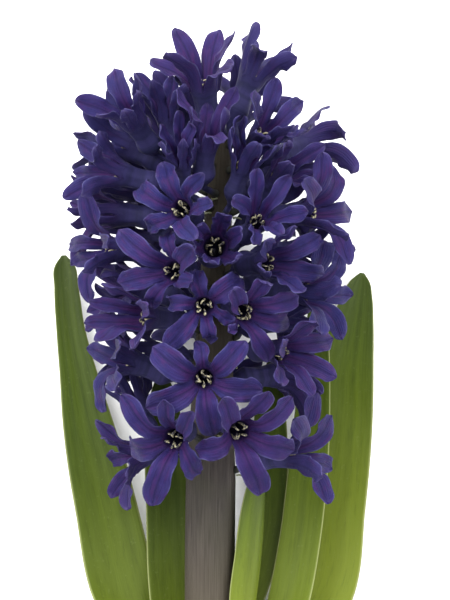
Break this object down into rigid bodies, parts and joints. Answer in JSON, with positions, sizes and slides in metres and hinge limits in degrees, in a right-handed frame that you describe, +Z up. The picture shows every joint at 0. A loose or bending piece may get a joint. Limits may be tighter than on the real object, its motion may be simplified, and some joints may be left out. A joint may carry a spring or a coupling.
{
  "type": "cut hyacinth flower",
  "caption": "Cut hyacinth lying on its back: a fleshy scape with a dense spike of six-lobed violet-blue florets and strap-shaped leaves clasping its base.",
  "frame": {"origin": "bottom centre of the bounding box, on the bench that the cut flower lies on", "axes": "+Y from the cut end of the scape to the tip of the spike, +Z up from the bench"},
  "size_m": [0.1008, 0.2323, 0.0786],
  "materials": {
    "petal_violet": "satin",
    "leaf_green": "satin",
    "scape_flesh": "satin",
    "anther_cream": "matte"
  },
  "bodies": {
    "root": {"scape": "scape_flesh", "leaf_left_outer": "leaf_green", "leaf_left_inner": "leaf_green", "leaf_right_inner": "leaf_green", "leaf_right_back": "leaf_green", "leaf_right_middle": "leaf_green", "leaf_right_outer": "leaf_green", "floret_front_low_left": "petal_violet", "floret_front_low_right": "petal_violet", "floret_front_middle": "petal_violet", "floret_front_upper": "petal_violet", "floret_front_right_mid": "petal_violet", "floret_front_left_mid": "petal_violet", "floret_front_left_high": "petal_violet", "floret_front_cup": "petal_violet", "floret_front_cup_right": "petal_violet", "floret_front_top_cup": "petal_violet", "floret_bud_front": "petal_violet", "floret_right_centre": "petal_violet", "floret_right_low_front": "petal_violet", "floret_right_low_side": "petal_violet", "floret_right_mid_side": "petal_violet", "floret_right_big": "petal_violet", "floret_right_back_side": "petal_violet", "floret_right_high_side": "petal_violet", "floret_right_shoulder": "petal_violet", "floret_centre_right_a": "petal_violet", "floret_centre_right_b": "petal_violet", "floret_left_high_side": "petal_violet", "floret_left_back_side": "petal_violet", "floret_left_mid_side": "petal_violet", "floret_left_lower_side": "petal_violet", "floret_left_low_front": "petal_violet", "floret_left_low_back": "petal_violet", "floret_left_shoulder_low": "petal_violet", "floret_left_shoulder": "petal_violet", "floret_top_left_back": "petal_violet", "floret_top_left": "petal_violet", "floret_top_right": "petal_violet", "floret_back_low_mid": "petal_violet", "floret_back_right_a": "petal_violet", "floret_back_left_a": "petal_violet", "floret_back_mid_a": "petal_violet", "floret_back_right_b": "petal_violet", "floret_back_left_b": "petal_violet", "floret_back_mid_b": "petal_violet", "floret_back_right_c": "petal_violet", "floret_back_left_c": "petal_violet", "floret_back_mid_c": "petal_violet", "floret_top_back": "petal_violet", "floret_between_top_left": "petal_violet", "floret_between_top": "petal_violet", "floret_between_left_high": "petal_violet", "floret_between_left_mid": "petal_violet", "floret_between_right_high": "petal_violet", "floret_between_right_mid": "petal_violet", "floret_between_right": "petal_violet", "floret_between_left": "petal_violet", "floret_left_low_edge": "petal_violet"}
  },
  "joints": []
}
